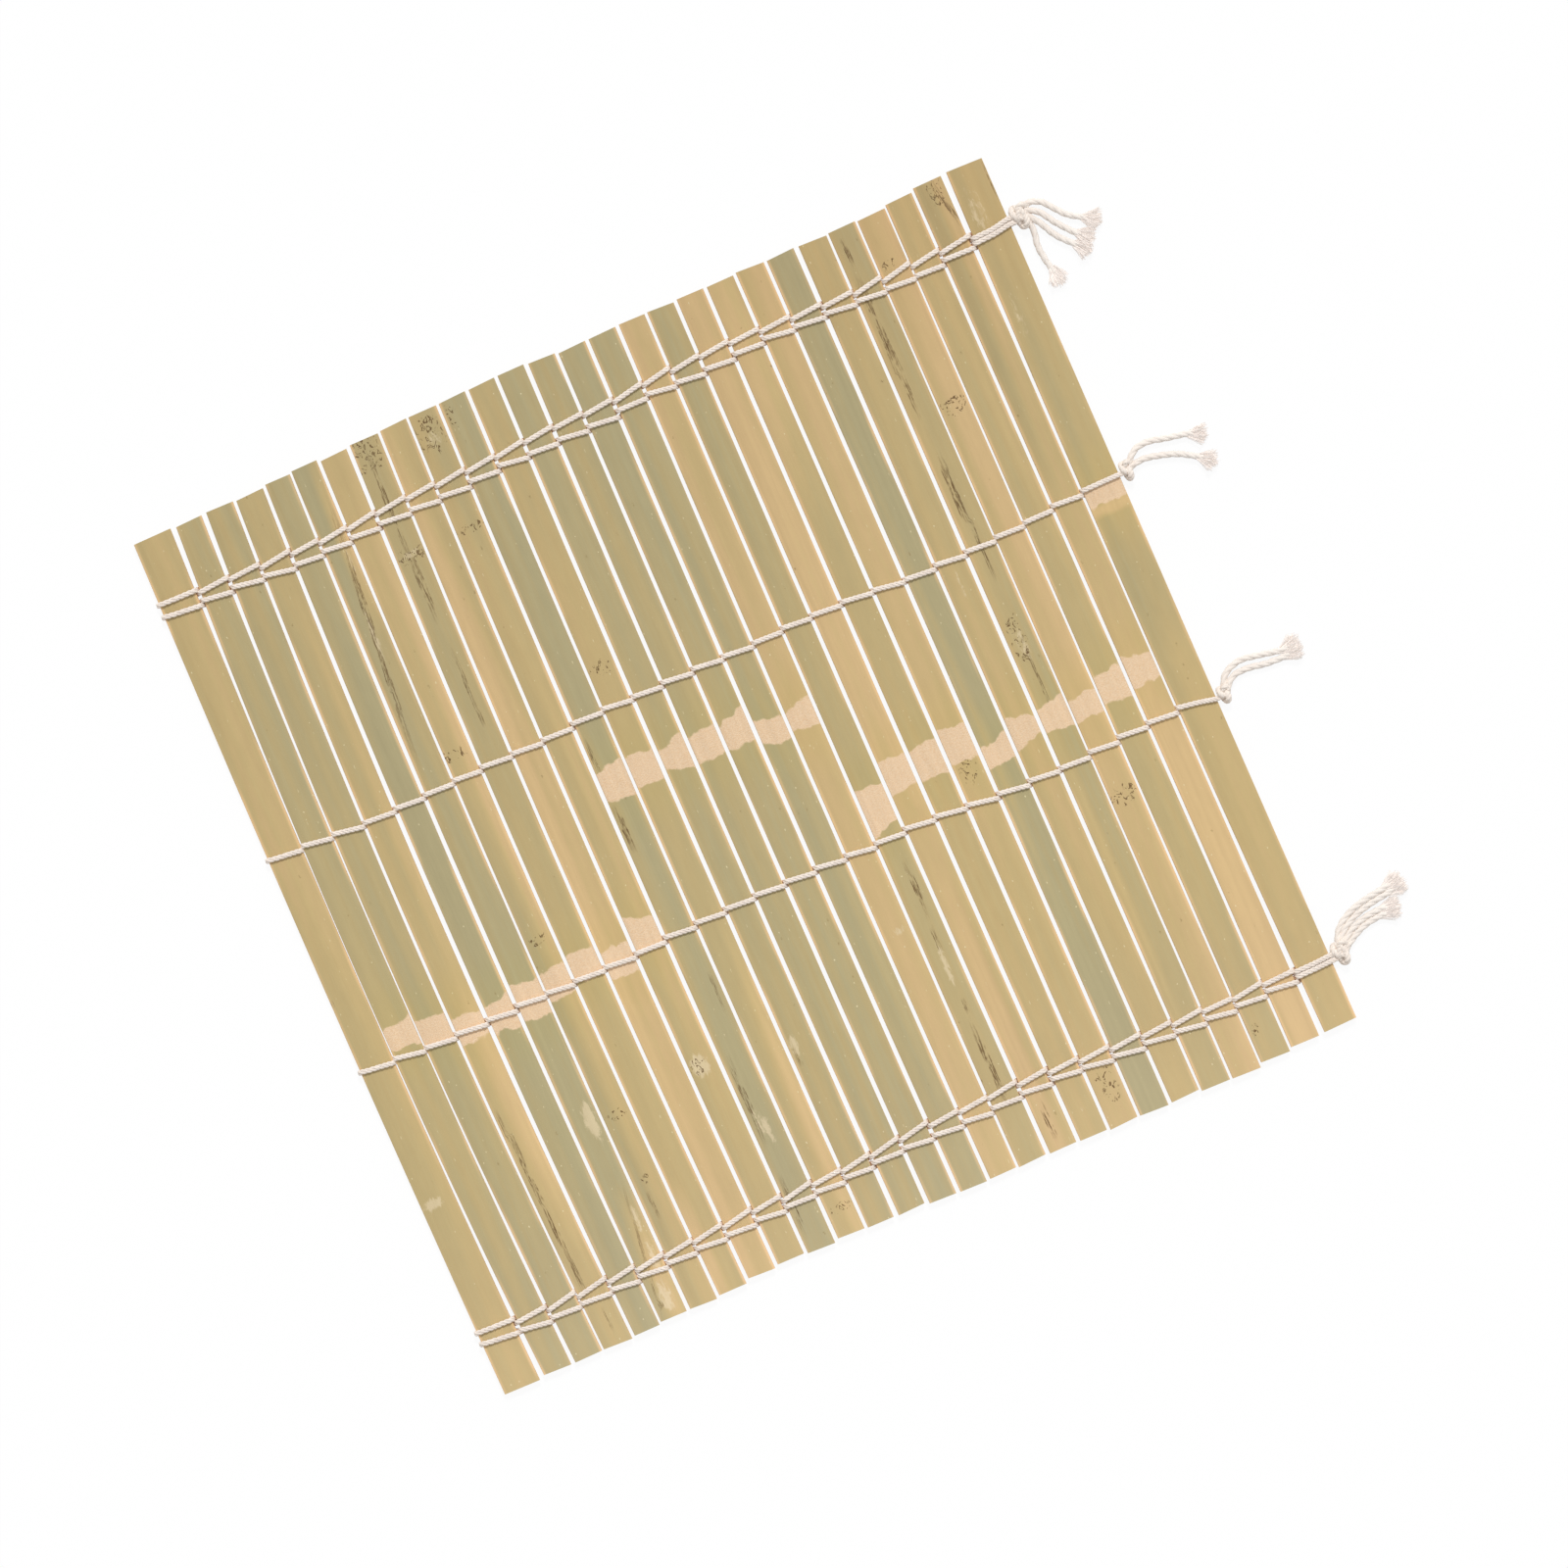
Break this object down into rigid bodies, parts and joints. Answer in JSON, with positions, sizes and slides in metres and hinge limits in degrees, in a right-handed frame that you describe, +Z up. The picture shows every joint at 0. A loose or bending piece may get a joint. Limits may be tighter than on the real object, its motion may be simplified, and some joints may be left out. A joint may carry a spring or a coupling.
{
  "type": "sushi rolling mat",
  "caption": "Square roll-up mat of flat bamboo slats woven side by side with cotton string, looped at one edge and tied in knots with frayed tassels at the other.",
  "frame": {"origin": "on the ground under the middle of the mat, without its knots and tassels", "axes": "+X along the strings from the looped edge to the knotted edge, +Y along the slats, +Z up through the flat mat"},
  "size_m": [0.2669, 0.2434, 0.0033],
  "materials": {
    "bamboo": "smooth green bamboo skin with a faint sheen",
    "cotton_string": "twisted undyed cotton"
  },
  "bodies": {
    "row_01": {"slat_01": "bamboo", "stitches_01": "cotton_string"},
    "row_02": {"slat_02": "bamboo", "stitches_02": "cotton_string"},
    "row_03": {"slat_03": "bamboo", "stitches_03": "cotton_string"},
    "row_04": {"slat_04": "bamboo", "stitches_04": "cotton_string"},
    "row_05": {"slat_05": "bamboo", "stitches_05": "cotton_string"},
    "row_06": {"slat_06": "bamboo", "stitches_06": "cotton_string"},
    "row_07": {"slat_07": "bamboo", "stitches_07": "cotton_string"},
    "row_08": {"slat_08": "bamboo", "stitches_08": "cotton_string"},
    "row_09": {"slat_09": "bamboo", "stitches_09": "cotton_string"},
    "row_10": {"slat_10": "bamboo", "stitches_10": "cotton_string"},
    "row_11": {"slat_11": "bamboo", "stitches_11": "cotton_string"},
    "row_12": {"slat_12": "bamboo", "stitches_12": "cotton_string"},
    "row_13": {"slat_13": "bamboo", "stitches_13": "cotton_string"},
    "row_14": {"slat_14": "bamboo", "stitches_14": "cotton_string"},
    "row_15": {"slat_15": "bamboo", "stitches_15": "cotton_string"},
    "row_16": {"slat_16": "bamboo", "stitches_16": "cotton_string"},
    "row_17": {"slat_17": "bamboo", "stitches_17": "cotton_string"},
    "row_18": {"slat_18": "bamboo", "stitches_18": "cotton_string"},
    "row_19": {"slat_19": "bamboo", "stitches_19": "cotton_string"},
    "row_20": {"slat_20": "bamboo", "stitches_20": "cotton_string"},
    "row_21": {"slat_21": "bamboo", "stitches_21": "cotton_string"},
    "row_22": {"slat_22": "bamboo", "stitches_22": "cotton_string"},
    "row_23": {"slat_23": "bamboo", "stitches_23": "cotton_string"},
    "row_24": {"slat_24": "bamboo", "stitches_24": "cotton_string"},
    "row_25": {"slat_25": "bamboo", "stitches_25": "cotton_string"},
    "row_26": {"slat_26": "bamboo", "stitches_26": "cotton_string"},
    "row_27": {"slat_27": "bamboo", "stitches_27": "cotton_string"},
    "row_28": {"slat_28": "bamboo", "stitches_28": "cotton_string", "knots": "cotton_string", "tassels": "cotton_string"}
  },
  "joints": [
    {"name": "hinge_27_28", "type": "hinge", "parent": "row_28", "child": "row_27", "pos_m": [0.11019, 0, 0.00147], "axis": [0, 1, 0], "range_deg": [-25, 25]},
    {"name": "hinge_26_27", "type": "hinge", "parent": "row_27", "child": "row_26", "pos_m": [0.10149, 0, 0.00147], "axis": [0, 1, 0], "range_deg": [-22, 22]},
    {"name": "hinge_25_26", "type": "hinge", "parent": "row_26", "child": "row_25", "pos_m": [0.09309, 0, 0.00147], "axis": [0, 1, 0], "range_deg": [-21.5, 21.5]},
    {"name": "hinge_24_25", "type": "hinge", "parent": "row_25", "child": "row_24", "pos_m": [0.08483, 0, 0.00147], "axis": [0, 1, 0], "range_deg": [-22, 22]},
    {"name": "hinge_23_24", "type": "hinge", "parent": "row_24", "child": "row_23", "pos_m": [0.07644, 0, 0.00147], "axis": [0, 1, 0], "range_deg": [-22.5, 22.5]},
    {"name": "hinge_22_23", "type": "hinge", "parent": "row_23", "child": "row_22", "pos_m": [0.06789, 0, 0.00147], "axis": [0, 1, 0], "range_deg": [-23, 23]},
    {"name": "hinge_21_22", "type": "hinge", "parent": "row_22", "child": "row_21", "pos_m": [0.05919, 0, 0.00147], "axis": [0, 1, 0], "range_deg": [-23.5, 23.5]},
    {"name": "hinge_20_21", "type": "hinge", "parent": "row_21", "child": "row_20", "pos_m": [0.05063, 0, 0.00147], "axis": [0, 1, 0], "range_deg": [-23.5, 23.5]},
    {"name": "hinge_19_20", "type": "hinge", "parent": "row_20", "child": "row_19", "pos_m": [0.04208, 0, 0.00147], "axis": [0, 1, 0], "range_deg": [-24, 24]},
    {"name": "hinge_18_19", "type": "hinge", "parent": "row_19", "child": "row_18", "pos_m": [0.03354, 0, 0.00147], "axis": [0, 1, 0], "range_deg": [-24, 24]},
    {"name": "hinge_17_18", "type": "hinge", "parent": "row_18", "child": "row_17", "pos_m": [0.02528, 0, 0.00147], "axis": [0, 1, 0], "range_deg": [-23.5, 23.5]},
    {"name": "hinge_16_17", "type": "hinge", "parent": "row_17", "child": "row_16", "pos_m": [0.01704, 0, 0.00147], "axis": [0, 1, 0], "range_deg": [-24.5, 24.5]},
    {"name": "hinge_15_16", "type": "hinge", "parent": "row_16", "child": "row_15", "pos_m": [0.00848, 0, 0.00147], "axis": [0, 1, 0], "range_deg": [-25.5, 25.5]},
    {"name": "hinge_14_15", "type": "hinge", "parent": "row_15", "child": "row_14", "pos_m": [-0.00006, 0, 0.00147], "axis": [0, 1, 0], "range_deg": [-25.5, 25.5]},
    {"name": "hinge_13_14", "type": "hinge", "parent": "row_14", "child": "row_13", "pos_m": [-0.00861, 0, 0.00147], "axis": [0, 1, 0], "range_deg": [-26, 26]},
    {"name": "hinge_12_13", "type": "hinge", "parent": "row_13", "child": "row_12", "pos_m": [-0.01701, 0, 0.00147], "axis": [0, 1, 0], "range_deg": [-26, 26]},
    {"name": "hinge_11_12", "type": "hinge", "parent": "row_12", "child": "row_11", "pos_m": [-0.02542, 0, 0.00147], "axis": [0, 1, 0], "range_deg": [-27, 27]},
    {"name": "hinge_10_11", "type": "hinge", "parent": "row_11", "child": "row_10", "pos_m": [-0.03397, 0, 0.00147], "axis": [0, 1, 0], "range_deg": [-27.5, 27.5]},
    {"name": "hinge_09_10", "type": "hinge", "parent": "row_10", "child": "row_09", "pos_m": [-0.04251, 0, 0.00147], "axis": [0, 1, 0], "range_deg": [-28, 28]},
    {"name": "hinge_08_09", "type": "hinge", "parent": "row_09", "child": "row_08", "pos_m": [-0.05106, 0, 0.00147], "axis": [0, 1, 0], "range_deg": [-29, 29]},
    {"name": "hinge_07_08", "type": "hinge", "parent": "row_08", "child": "row_07", "pos_m": [-0.05976, 0, 0.00147], "axis": [0, 1, 0], "range_deg": [-28.5, 28.5]},
    {"name": "hinge_06_07", "type": "hinge", "parent": "row_07", "child": "row_06", "pos_m": [-0.06777, 0, 0.00147], "axis": [0, 1, 0], "range_deg": [-28.5, 28.5]},
    {"name": "hinge_05_06", "type": "hinge", "parent": "row_06", "child": "row_05", "pos_m": [-0.07601, 0, 0.00147], "axis": [0, 1, 0], "range_deg": [-29, 29]},
    {"name": "hinge_04_05", "type": "hinge", "parent": "row_05", "child": "row_04", "pos_m": [-0.08402, 0, 0.00147], "axis": [0, 1, 0], "range_deg": [-30.5, 30.5]},
    {"name": "hinge_03_04", "type": "hinge", "parent": "row_04", "child": "row_03", "pos_m": [-0.09272, 0, 0.00147], "axis": [0, 1, 0], "range_deg": [-32, 32]},
    {"name": "hinge_02_03", "type": "hinge", "parent": "row_03", "child": "row_02", "pos_m": [-0.10126, 0, 0.00147], "axis": [0, 1, 0], "range_deg": [-32.5, 32.5]},
    {"name": "hinge_01_02", "type": "hinge", "parent": "row_02", "child": "row_01", "pos_m": [-0.10981, 0, 0.00147], "axis": [0, 1, 0], "range_deg": [-37.5, 37.5]}
  ]
}
